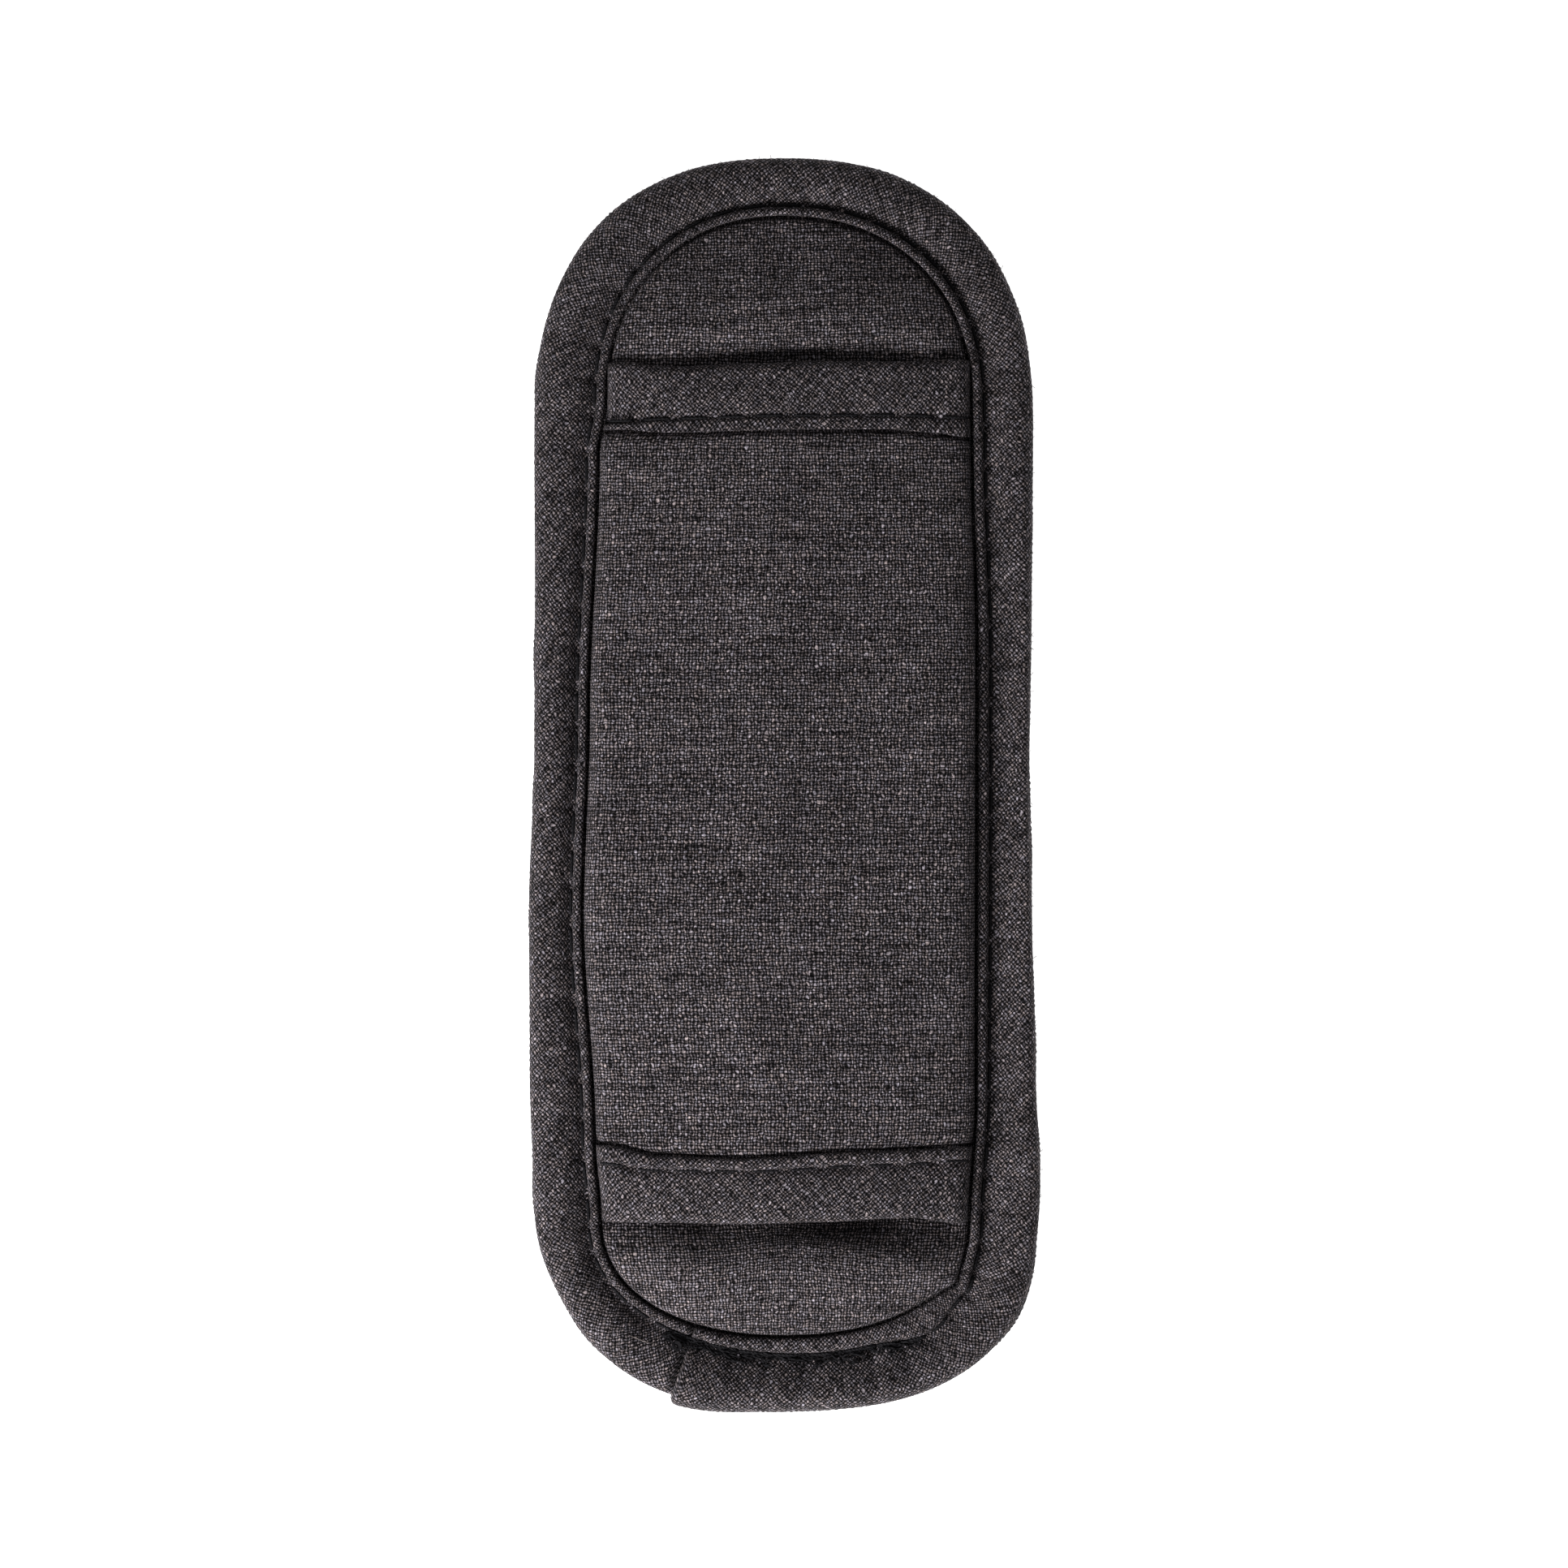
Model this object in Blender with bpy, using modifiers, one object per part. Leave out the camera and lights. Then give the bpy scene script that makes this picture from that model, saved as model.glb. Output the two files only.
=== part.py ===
"""A padded slip-on cover for a narrow chair arm or strap, sewn from cloth, foam and thread.

It lies on its cushion side with the sleeve up. X runs across it, Y along it and Z up, in metres.
The origin is at the middle of the flat face that it rests on.
The pad is foam between two covers, with a tape folded round its edge.
The sleeve is a thin padded panel over the pad's back, with a tape folded round each of its free ends.
"""

import math

import bmesh
import bpy

MM = 0.001

# The pad's plan: two straight sides between two superellipse ends.
LENGTH = 190.0 * MM
UPPER_HALF_WIDTH = 37.7 * MM
LOWER_HALF_WIDTH = 38.5 * MM
UPPER_END_DEPTH = 40.3 * MM
LOWER_END_DEPTH = 36.3 * MM
UPPER_END_POWER = 2.37
LOWER_END_POWER = 2.56
END_STEPS = 20
END_DEGREES = 180.0

# Layers.
CLOTH = 0.5 * MM
GAP = 0.3 * MM
EDGE_FOAM = 1.0 * MM
EDGE_MIDDLE_Z = 3.9 * MM
BACK_CROWN_Z = 7.5 * MM
COVER_INSET = 1.3 * MM
CROWN_START = 8.5 * MM
CROWN_SPREAD = 10.0 * MM
CROWN_STEPS = 4

# A face whose normal's Z is above this is part of a slab's top.
LEVEL_NORMAL_Z = 0.9

# The edge binding's section. U is the distance inward from the pad's outline.
# H is the height from the edge's middle.
ROLL_U = 3.8 * MM
ROLL_H = 2.9 * MM
ROLL_STEPS = 4
GROOVE_U = 7.2 * MM
GROOVE_H = 2.1 * MM
LIP_U = 8.3 * MM
LIP_H = 2.9 * MM
LIP_END_U = 9.0 * MM
LIP_END_H = 2.3 * MM

# The lap, where the tape's folded end lies over its start: places on the lower end, in degrees, and growth.
LAP_FOLD_TURN = 66.0
LAP_FULL_TURN = 67.5
LAP_END_TURN = 99.0
LAP_GROWTH = 0.15

THREAD_RADIUS = 0.25 * MM
THREAD_LIFT = GAP + THREAD_RADIUS

# The sleeve: an arch between the two side seams, over the pad's back.
SLEEVE_UPPER_Y = 63.9 * MM
SLEEVE_LOWER_Y = -66.2 * MM
SLEEVE_INSET = 10.0 * MM
SLEEVE_SEAM_Z = 6.7 * MM
SLEEVE_TOP_Z = 15.6 * MM
ARCH_WIDTH_POWER = 3.0
ARCH_HEIGHT_POWER = 2.4
ARCH_STEPS = 14
ARCH_DEGREES = 180.0
SLEEVE_ROWS = 7
PANEL_CLOTH = 0.4 * MM
PANEL_GAP = 0.25 * MM
PADDING = 1.0 * MM
LAMINATE = 2 * PANEL_CLOTH + 2 * PANEL_GAP + PADDING
TAPE_DEPTH = PANEL_GAP + PANEL_CLOTH
TAPE_TURN_RADIUS = LAMINATE / 2 + TAPE_DEPTH
TAPE_WIDTH = 10.3 * MM
TAPE_STITCH = 8.3 * MM
TAPE_TURN_STEPS = 4
THREAD_ARCH_DEGREES = 74.0

MERGE = 0.01 * MM

# Each material's colour and roughness.
CHARCOAL_CLOTH = ((0.058, 0.052, 0.056), 0.9)
LINING_CLOTH = ((0.035, 0.033, 0.035), 0.9)
BLACK_THREAD = ((0.008, 0.008, 0.009), 0.6)
WHITE_FOAM = ((0.62, 0.61, 0.57), 0.95)


def clear_scene():
    """Removes every object, so that the script can be run again."""
    for old in list(bpy.data.objects):
        bpy.data.objects.remove(old)


def new_collection(name):
    made = bpy.data.collections.new(name)
    bpy.context.scene.collection.children.link(made)
    return made


def finish_object(made, look, collection):
    """Gives a sub-part its own material and its place in the collection."""
    colour, roughness = look
    material = bpy.data.materials.new(made.name)
    material.use_nodes = True
    shader = material.node_tree.nodes["Principled BSDF"]
    shader.inputs["Base Color"].default_value = (*colour, 1.0)
    shader.inputs["Roughness"].default_value = roughness
    shader.inputs["Metallic"].default_value = 0.0
    made.data.materials.clear()
    made.data.materials.append(material)
    for held in list(made.users_collection):
        held.objects.unlink(made)
    collection.objects.link(made)
    return made


# ---------------------------------------------------------------- the pad's plan


def end_point(upper, turn_degrees, inset):
    """A point on one end of the outline, moved in by inset. The turn runs counter-clockwise from 0 to 180."""
    half_width = UPPER_HALF_WIDTH if upper else LOWER_HALF_WIDTH
    depth = UPPER_END_DEPTH if upper else LOWER_END_DEPTH
    power = UPPER_END_POWER if upper else LOWER_END_POWER
    turn = math.radians(turn_degrees)
    across = math.copysign(abs(math.cos(turn)) ** (2 / power), math.cos(turn))
    along = abs(math.sin(turn)) ** (2 / power)
    x = (half_width - inset) * across
    y = LENGTH / 2 - depth + (depth - inset) * along
    return (x, y) if upper else (-x, -y)


def end_turns():
    return [END_DEGREES * i / END_STEPS for i in range(END_STEPS + 1)]


def stations():
    """(upper end or not, turn, growth of the lap there) round the whole outline, counter-clockwise."""
    turns = end_turns()
    lower_turns = sorted([*turns, LAP_FOLD_TURN, LAP_FULL_TURN])
    return [(True, t, 0.0) for t in turns] + [(False, t, lap_growth(t)) for t in lower_turns]


def lap_growth(turn):
    """The lap's share of extra section: a sharp step at the tape's folded end, then a slow fade."""
    if turn <= LAP_FOLD_TURN or turn >= LAP_END_TURN:
        return 0.0
    fade = (turn - LAP_FULL_TURN) / (LAP_END_TURN - LAP_FULL_TURN)
    return LAP_GROWTH * (1 - fade * fade)


def outline(inset):
    """The pad's outline, moved in by inset."""
    return [end_point(upper, turn, inset) for upper in (True, False) for turn in end_turns()]


def half_width_at(y, inset):
    """Half the pad's width at y, moved in by inset."""
    upper_start = LENGTH / 2 - UPPER_END_DEPTH
    lower_start = LOWER_END_DEPTH - LENGTH / 2
    if y > upper_start:
        share = (y - upper_start) / (UPPER_END_DEPTH - inset)
        return (UPPER_HALF_WIDTH - inset) * (1 - share**UPPER_END_POWER) ** (1 / UPPER_END_POWER)
    if y < lower_start:
        share = (lower_start - y) / (LOWER_END_DEPTH - inset)
        return (LOWER_HALF_WIDTH - inset) * (1 - share**LOWER_END_POWER) ** (1 / LOWER_END_POWER)
    share = (y - lower_start) / (upper_start - lower_start)
    return LOWER_HALF_WIDTH + (UPPER_HALF_WIDTH - LOWER_HALF_WIDTH) * share - inset


# ---------------------------------------------------------------- curves and slabs


def poly_curve(name, points, cyclic, dimensions="3D", growths=None):
    """A curve object on a POLY spline. growths are the section's extra size at each point."""
    data = bpy.data.curves.new(name, "CURVE")
    data.dimensions = dimensions
    data.twist_mode = "Z_UP"
    spline = data.splines.new("POLY")
    spline.points.add(len(points) - 1)
    for i, (point, place) in enumerate(zip(spline.points, points)):
        point.co = (*place, 1.0)
        point.radius = 1.0 + (growths[i] if growths else 0.0)
    spline.use_cyclic_u = cyclic
    made = bpy.data.objects.new(name, data)
    bpy.context.scene.collection.objects.link(made)
    return made


def as_mesh(curve_object):
    """The mesh object that a curve object evaluates to, with its caps welded. The curve is removed."""
    name = curve_object.name
    curve_object.name = name + "_curve"
    bpy.context.view_layer.update()
    evaluated = curve_object.evaluated_get(bpy.context.evaluated_depsgraph_get())
    mesh = bpy.data.meshes.new_from_object(evaluated)
    made = bpy.data.objects.new(name, mesh)
    made.matrix_world = curve_object.matrix_world
    bpy.context.scene.collection.objects.link(made)
    bpy.data.objects.remove(curve_object)
    bm = bmesh.new()
    bm.from_mesh(mesh)
    bmesh.ops.remove_doubles(bm, verts=bm.verts, dist=MERGE)
    bmesh.ops.recalc_face_normals(bm, faces=bm.faces)
    bm.to_mesh(mesh)
    bm.free()
    return made


def crowned_slab(name, low_z, high_z, top_rise, bottom_rise, look, collection):
    """A slab of the covers' plan whose top and bottom faces rise, or sink if negative, towards the middle."""
    plan = [(x, y, 0.0) for x, y in outline(COVER_INSET)]
    curve = poly_curve(name, plan, cyclic=True, dimensions="2D")
    curve.data.fill_mode = "BOTH"
    curve.data.extrude = (high_z - low_z) / 2
    curve.location.z = (high_z + low_z) / 2
    made = as_mesh(curve)
    bm = bmesh.new()
    bm.from_mesh(made.data)
    bm.normal_update()
    for side, rise in ((1.0, top_rise), (-1.0, bottom_rise)):
        cap = [f for f in bm.faces if f.normal.z * side > LEVEL_NORMAL_Z]
        bmesh.ops.dissolve_faces(bm, faces=cap)
        cap = [f for f in bm.faces if f.normal.z * side > LEVEL_NORMAL_Z]
        bmesh.ops.inset_region(bm, faces=cap, thickness=CROWN_START - COVER_INSET, use_even_offset=True)
        reached = 0.0
        for i in range(1, CROWN_STEPS + 1):
            share = (1 - math.cos(math.pi * i / CROWN_STEPS)) / 2
            bmesh.ops.inset_region(bm, faces=cap, thickness=CROWN_SPREAD / CROWN_STEPS, use_even_offset=True)
            for vert in {v for f in cap for v in f.verts}:
                vert.co.z += rise * (share - reached)
            reached = share
    bm.to_mesh(made.data)
    bm.free()
    made.data.shade_smooth()
    return finish_object(made, look, collection)


# ---------------------------------------------------------------- the pad


def make_covers_and_foam(collection):
    foam_half = EDGE_FOAM / 2
    foam_top = EDGE_MIDDLE_Z + foam_half
    foam_bottom = EDGE_MIDDLE_Z - foam_half
    edge_top = foam_top + GAP + CLOTH
    edge_bottom = foam_bottom - GAP - CLOTH
    rise = BACK_CROWN_Z - edge_top
    sink = -edge_bottom
    crowned_slab("back_cover", edge_top - CLOTH, edge_top, rise, rise, CHARCOAL_CLOTH, collection)
    crowned_slab("foam_core", foam_bottom, foam_top, rise, sink, WHITE_FOAM, collection)
    crowned_slab("face_cover", edge_bottom, edge_bottom + CLOTH, sink, sink, CHARCOAL_CLOTH, collection)


def binding_section():
    """(U, H) along the tape's outer surface, from its upper inner edge round the roll to its lower one."""
    upper = [(LIP_END_U, LIP_END_H), (LIP_U, LIP_H), (GROOVE_U, GROOVE_H)]
    roll = []
    for i in range(1, 2 * ROLL_STEPS):
        turn = math.pi * i / (2 * ROLL_STEPS) - math.pi / (4 * ROLL_STEPS)
        roll.append((ROLL_U * (1 - math.sin(turn)), ROLL_H * math.cos(turn)))
    crest = (ROLL_U, ROLL_H)
    return [*upper, crest, *roll, (crest[0], -crest[1]), *[(u, -h) for u, h in reversed(upper)]]


def make_edge_binding(collection):
    """The tape round the edge: its section swept round the outline, grown where the end laps the start."""
    places = stations()
    path = [(*end_point(upper, turn, ROLL_U), EDGE_MIDDLE_Z) for upper, turn, _ in places]
    binding = poly_curve("edge_binding", path, cyclic=True, growths=[growth for _, _, growth in places])
    section_points = [(ROLL_U - u, h, 0.0) for u, h in binding_section()]
    section = poly_curve("binding_section", section_points, cyclic=False, dimensions="2D")
    binding.data.bevel_mode = "OBJECT"
    binding.data.bevel_object = section
    made = as_mesh(binding)
    bpy.data.objects.remove(section)
    solidify = made.modifiers.new("cloth", "SOLIDIFY")
    solidify.thickness = CLOTH
    solidify.offset = -1.0
    solidify.use_even_offset = True
    made.data.shade_smooth()
    return finish_object(made, CHARCOAL_CLOTH, collection)


def make_edge_thread(name, side, collection):
    """The seam's thread in the groove: side is 1 on the back and -1 on the cushion side."""
    path = []
    for upper, turn, growth in stations():
        inset = ROLL_U + (GROOVE_U - ROLL_U) * (1 + growth)
        height = GROOVE_H * (1 + growth) + THREAD_LIFT
        path.append((*end_point(upper, turn, inset), EDGE_MIDDLE_Z + side * height))
    thread = poly_curve(name, path, cyclic=True)
    thread.data.bevel_depth = THREAD_RADIUS
    thread.data.bevel_resolution = 1
    return finish_object(as_mesh(thread), BLACK_THREAD, collection)


# ---------------------------------------------------------------- the sleeve


def sleeve_point(arch_degrees, y, depth):
    """A point of the sleeve at an angle across its arch, at a depth under the panel's outer surface."""
    turn = math.radians(arch_degrees)
    across = math.copysign(abs(math.sin(turn)) ** (2 / ARCH_WIDTH_POWER), math.sin(turn))
    up = abs(math.cos(turn)) ** (2 / ARCH_HEIGHT_POWER)
    half_width = half_width_at(y, SLEEVE_INSET)
    height = SLEEVE_TOP_Z - SLEEVE_SEAM_Z
    return ((half_width - depth) * across, y, SLEEVE_SEAM_Z + (height - depth) * up)


def sleeve_sheet(name, rows, thickness, look, collection):
    """An arched sheet. rows are the (y, depth) of its outer surface along the sleeve."""
    bpy.ops.mesh.primitive_grid_add(x_subdivisions=ARCH_STEPS, y_subdivisions=len(rows) - 1, size=1.0)
    made = bpy.context.object
    made.name = name
    for vert in made.data.vertices:
        y, depth = rows[round((vert.co.y + 0.5) * (len(rows) - 1))]
        vert.co = sleeve_point(vert.co.x * ARCH_DEGREES, y, depth)
    solidify = made.modifiers.new("cloth", "SOLIDIFY")
    solidify.thickness = thickness
    solidify.offset = -1.0
    solidify.use_even_offset = True
    made.data.shade_smooth()
    return finish_object(made, look, collection)


def make_sleeve_layers(collection):
    length = SLEEVE_UPPER_Y - SLEEVE_LOWER_Y
    places = [SLEEVE_LOWER_Y + length * i / (SLEEVE_ROWS - 1) for i in range(SLEEVE_ROWS)]
    places[0] += TAPE_TURN_RADIUS
    places[-1] -= TAPE_TURN_RADIUS
    for name, depth, thickness, look in (
        ("sleeve_panel", 0.0, PANEL_CLOTH, CHARCOAL_CLOTH),
        ("sleeve_padding", PANEL_CLOTH + PANEL_GAP, PADDING, WHITE_FOAM),
        ("sleeve_lining", LAMINATE - PANEL_CLOTH, PANEL_CLOTH, LINING_CLOTH),
    ):
        sleeve_sheet(name, [(y, depth) for y in places], thickness, look, collection)


def make_sleeve_end(label, free_y, inward, collection):
    """The tape and the two threads at one free end. inward is the sign of Y from that end into the sleeve."""
    centre_y = free_y + inward * TAPE_TURN_RADIUS
    inner_y = free_y + inward * TAPE_WIDTH
    rows = [(inner_y, -TAPE_DEPTH)]
    for i in range(TAPE_TURN_STEPS + 1):
        turn = math.pi * i / TAPE_TURN_STEPS
        along = centre_y - inward * TAPE_TURN_RADIUS * math.sin(turn)
        rows.append((along, LAMINATE / 2 - TAPE_TURN_RADIUS * math.cos(turn)))
    rows.append((inner_y, LAMINATE + TAPE_DEPTH))
    # The rows run so that the sheet's outer side faces out of the fold at either end.
    outward_rows = rows if inward < 0 else rows[::-1]
    sleeve_sheet(f"sleeve_binding_{label}", outward_rows, PANEL_CLOTH, CHARCOAL_CLOTH, collection)
    thread_y = free_y + inward * TAPE_STITCH
    off_tape = TAPE_DEPTH + THREAD_LIFT
    angles = [THREAD_ARCH_DEGREES * (2 * i / ARCH_STEPS - 1) for i in range(ARCH_STEPS + 1)]
    for side, depth in (("outer", -off_tape), ("inner", LAMINATE + off_tape)):
        path = [sleeve_point(angle, thread_y, depth) for angle in angles]
        thread = poly_curve(f"sleeve_thread_{label}_{side}", path, cyclic=False)
        thread.data.bevel_depth = THREAD_RADIUS
        thread.data.bevel_resolution = 1
        thread.data.use_fill_caps = True
        finish_object(as_mesh(thread), BLACK_THREAD, collection)


def main():
    clear_scene()
    collection = new_collection("slip_on_arm_pad")
    make_covers_and_foam(collection)
    make_edge_binding(collection)
    make_edge_thread("edge_seam_thread_back", 1.0, collection)
    make_edge_thread("edge_seam_thread_face", -1.0, collection)
    make_sleeve_layers(collection)
    make_sleeve_end("upper", SLEEVE_UPPER_Y, -1.0, collection)
    make_sleeve_end("lower", SLEEVE_LOWER_Y, 1.0, collection)


main()
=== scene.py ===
"""The looks of the slip-on arm pad: charcoal melange cloth, bias tape, long stitches and a padded sleeve.

Lengths here are in millimetres until a mesh is made. X runs across the pad, Y along it and Z up.
"""

import math

import bmesh
import bpy
import numpy as np
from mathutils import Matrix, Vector


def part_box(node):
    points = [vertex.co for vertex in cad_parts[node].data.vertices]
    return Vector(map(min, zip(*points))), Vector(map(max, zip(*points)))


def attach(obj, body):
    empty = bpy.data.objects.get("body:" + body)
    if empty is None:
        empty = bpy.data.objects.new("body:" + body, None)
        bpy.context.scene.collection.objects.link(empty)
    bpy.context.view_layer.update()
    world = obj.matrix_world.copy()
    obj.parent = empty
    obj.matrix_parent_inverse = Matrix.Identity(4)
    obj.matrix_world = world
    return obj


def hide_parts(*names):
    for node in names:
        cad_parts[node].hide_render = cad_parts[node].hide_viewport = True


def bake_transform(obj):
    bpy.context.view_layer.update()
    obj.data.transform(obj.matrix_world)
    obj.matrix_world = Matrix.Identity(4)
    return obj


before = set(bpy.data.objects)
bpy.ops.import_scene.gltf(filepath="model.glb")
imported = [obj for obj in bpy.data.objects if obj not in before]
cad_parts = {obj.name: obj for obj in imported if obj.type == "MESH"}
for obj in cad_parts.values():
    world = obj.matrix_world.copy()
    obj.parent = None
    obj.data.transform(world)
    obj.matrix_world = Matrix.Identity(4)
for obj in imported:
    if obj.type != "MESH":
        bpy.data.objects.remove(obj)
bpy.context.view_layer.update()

MM = 0.001
RNG = np.random.default_rng(11)


# ---- sizes

# The edge's upper end and middle height, and how thick the sleeve's layers are together.
EDGE_TOP_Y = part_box("edge_binding")[1][1] / MM
MIDDLE_Z = 3.9
LAMINATE = 1.9

# The outline: half widths of the straight sides at places along Y, and superellipse ends as (start y, end y,
# power). The lower one leans to +X.
RIGHT_SIDE = [(-59, 38.9), (-45, 38.2), (-18, 37.6), (0, 37.2), (30, 37.6), (55, 37.8)]
LEFT_SIDE = [(-59, 38.1), (-45, 38.6), (-18, 38.7), (4, 37.9), (30, 37.8), (55, 37.9)]
UPPER_END = (54.6, EDGE_TOP_Y, 2.37)
LOWER_END = (-58.7, -95.0, 2.56)
LOWER_LEAN = 1.3
LEAN_START_Y = LOWER_END[0] - 9
LEAN_REACH = 14

# The inner line, where the tape's inner edge meets the back cover and the sleeve.
INNER_RIGHT = [(-66, 28.1), (-48, 29.1), (20, 29.2), (50, 28.5), (58, 28.4)]
INNER_LEFT = [(-66, 27.8), (-54, 28.7), (-20, 30.5), (10, 29.6), (50, 28.1), (58, 26.9)]
INNER_UPPER_END = (57.6, 85.9, 2.19)
INNER_LOWER_END = (-65.9, -83.7, 2.19)

# The edge tape's section: heights from the edge's middle, half the crevice inside its lip, and the groove's
# usual distance from the inner line.
ROLL_H = 2.95
GROOVE_H = 1.15
LIP_H = 2.5
LINE_HALF = 0.22
GROOVE_BACK = 1.85

# The long stitches: from one needle hole to the next, the part that shows, and the thread's radius.
STITCH_PITCH = 5.95
STITCH_FLOAT = 4.5
THREAD_RADIUS = 0.24

# The weave: its yarns' pitches, the tapes' angle to them, their rise over each other, and how much they vary.
WARP_PITCH = 0.527
WEFT_PITCH = 0.496
BIAS_ANGLE = math.radians(48)
FLOAT_RISE = 0.62
SPECK_SHARE = 0.42
RUN_SHARE = 1.2
# The next value is how dark the painted shade in the hollows between the yarns gets, as a share of a yarn's
# full tone.
HOLLOW_SHADE_FLOOR = 0.02
YARN_DRIFT = 1.6
YARN_JITTER = 1.3
FIBRE_SHARE = 0.95
WEFT_DIM = 0.4


# ---- small helpers


def smoothstep(t):
    t = np.clip(t, 0, 1)
    return t * t * (3 - 2 * t)


def eased(points, at):
    """A smooth line through a few (place, value) points, level beyond both ends."""
    places = np.array([p for p, _ in points], float)
    values = np.array([v for _, v in points], float)
    at = np.asarray(at, float)
    i = np.clip(np.searchsorted(places, at) - 1, 0, len(places) - 2)
    t = smoothstep((at - places[i]) / (places[i + 1] - places[i]))
    return values[i] + (values[i + 1] - values[i]) * t


def bump(at, centre, width):
    """A bell of height 1."""
    return np.exp(-(((np.asarray(at) - centre) / width) ** 2))


def closed_smooth(values, radius):
    """Values round a closed line, averaged with a bell of this radius in samples."""
    reach = int(3 * radius) + 1
    steps = np.arange(-reach, reach + 1)
    bell = np.exp(-0.5 * (steps / radius) ** 2)
    bell /= bell.sum()
    wide = np.concatenate([values[-reach:], values, values[:reach]])
    return np.convolve(wide, bell, "valid")


def smooth_line(line, radius):
    """A closed line of points, each way averaged with a bell of this radius in samples."""
    return np.stack([closed_smooth(line[:, k], radius) for k in range(2)], 1)


def unit(vectors):
    return vectors / np.linalg.norm(vectors, axis=1)[:, None]


class Ripple:
    """Smooth seeded noise over a plane, as a sum of waves with lengths between two limits."""

    def __init__(self, shortest, longest, count=26, stretch=(1.0, 1.0)):
        length = RNG.uniform(shortest, longest, count)
        turn = RNG.uniform(0, 2 * math.pi, count)
        self.kx = 2 * math.pi * np.cos(turn) / length / stretch[0]
        self.ky = 2 * math.pi * np.sin(turn) / length / stretch[1]
        self.phase = RNG.uniform(0, 2 * math.pi, count)
        self.scale = math.sqrt(2.0 / count)

    def __call__(self, x, y):
        x, y = np.broadcast_arrays(np.asarray(x, float), np.asarray(y, float))
        total = np.zeros(x.shape)
        for kx, ky, phase in zip(self.kx, self.ky, self.phase):
            total += np.sin(kx * x + ky * y + phase)
        return total * self.scale


# ---- the plan


def stadium(right, left, upper, lower, lean=0.0, count=1500):
    """A closed line, counter-clockwise from the right side's upper end.

    upper and lower are (start y, end y, power) of the two superellipse ends."""
    turn = np.linspace(0, math.pi, count)
    pieces = []
    for (start, end, power), sign in ((upper, 1), (lower, -1)):
        across = np.sign(np.cos(turn)) * np.abs(np.cos(turn)) ** (2 / power) * sign
        y = start + (end - start) * np.sin(turn) ** (2 / power)
        half = np.where(across > 0, eased(right, y), eased(left, y))
        x = across * half + lean * smoothstep((LEAN_START_Y - y) / LEAN_REACH)
        pieces.append(np.stack([x, y], 1))
        along = np.linspace(start, lower[0] if sign > 0 else upper[0], count // 3)[1:-1]
        side = -eased(left, along) if sign > 0 else eased(right, along)
        pieces.append(np.stack([side, along], 1))
    return np.concatenate(pieces)


def resampled(line, count):
    """A closed line with evenly spaced points, and its length."""
    closed = np.concatenate([line, line[:1]])
    run = np.concatenate([[0], np.cumsum(np.linalg.norm(np.diff(closed, axis=0), axis=1))])
    at = np.linspace(0, run[-1], count, endpoint=False)
    return np.stack([np.interp(at, run, closed[:, k]) for k in range(2)], 1), run[-1]


def pulled(line, corner, reach, pull):
    """A line drawn out by pull at a corner, and less and less away from it over a reach."""
    away = line - np.array(corner)
    share = np.exp(-np.hypot(away[:, 0], away[:, 1]) / reach)[:, None]
    return line + share * np.array(pull)


STATIONS = 1340
OUTLINE, PERIMETER = resampled(stadium(RIGHT_SIDE, LEFT_SIDE, UPPER_END, LOWER_END, LOWER_LEAN), STATIONS)
STEP = PERIMETER / STATIONS
OUTLINE = smooth_line(OUTLINE, 2.0 / STEP)
TANGENT = unit(np.roll(OUTLINE, -1, 0) - np.roll(OUTLINE, 1, 0))
TANGENT = unit(smooth_line(TANGENT, 3.0 / STEP))
INWARD = np.stack([-TANGENT[:, 1], TANGENT[:, 0]], 1)
RUN = np.arange(STATIONS) * STEP

INNER = pulled(
    stadium(INNER_RIGHT, INNER_LEFT, INNER_UPPER_END, INNER_LOWER_END),
    corner=(25.9, -75.2),
    reach=2.2,
    pull=(1.5, -1.3),
)


def station_near(x, y):
    """The run along the outline of its point nearest to a place."""
    return RUN[np.argmin(np.hypot(OUTLINE[:, 0] - x, OUTLINE[:, 1] - y))]


def run_from(place):
    """The signed distance along the outline from a place to each station, the short way round."""
    return (RUN - place + PERIMETER / 2) % PERIMETER - PERIMETER / 2


def distances_to_inner():
    """How far each station is from the inner line, straight inwards."""
    start, end = INNER, np.roll(INNER, -1, 0)
    edge = end - start
    found = np.empty(STATIONS)
    for i, (place, inward) in enumerate(zip(OUTLINE, INWARD)):
        cross = inward[0] * edge[:, 1] - inward[1] * edge[:, 0]
        cross = np.where(np.abs(cross) < 1e-12, 1e-12, cross)
        gap = start - place
        far = (gap[:, 0] * edge[:, 1] - gap[:, 1] * edge[:, 0]) / cross
        share = (gap[:, 0] * inward[1] - gap[:, 1] * inward[0]) / cross
        found[i] = far[(far > 0) & (share >= 0) & (share < 1)].min()
    return found


def stretch(place, shift, width):
    """A bell along the outline, in mm: its top lies shift past the station nearest to a place."""
    return bump(run_from(station_near(*place)), shift, width)


TAPE_D = closed_smooth(distances_to_inner(), 0.45 / STEP)

# The groove lies further out along the lower end, most round its right corner, and a little on the right.
LOWER_MIDDLE = (2, -95)
GROOVE_GAP = (
    GROOVE_BACK
    + 1.1 * stretch(LOWER_MIDDLE, 6, 22)
    + 2.2 * stretch((27, -89), -1, 8)
    + 0.35 * stretch((38, 0), 0, 55)
)
GROOVE_U = TAPE_D - GROOVE_GAP

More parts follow.
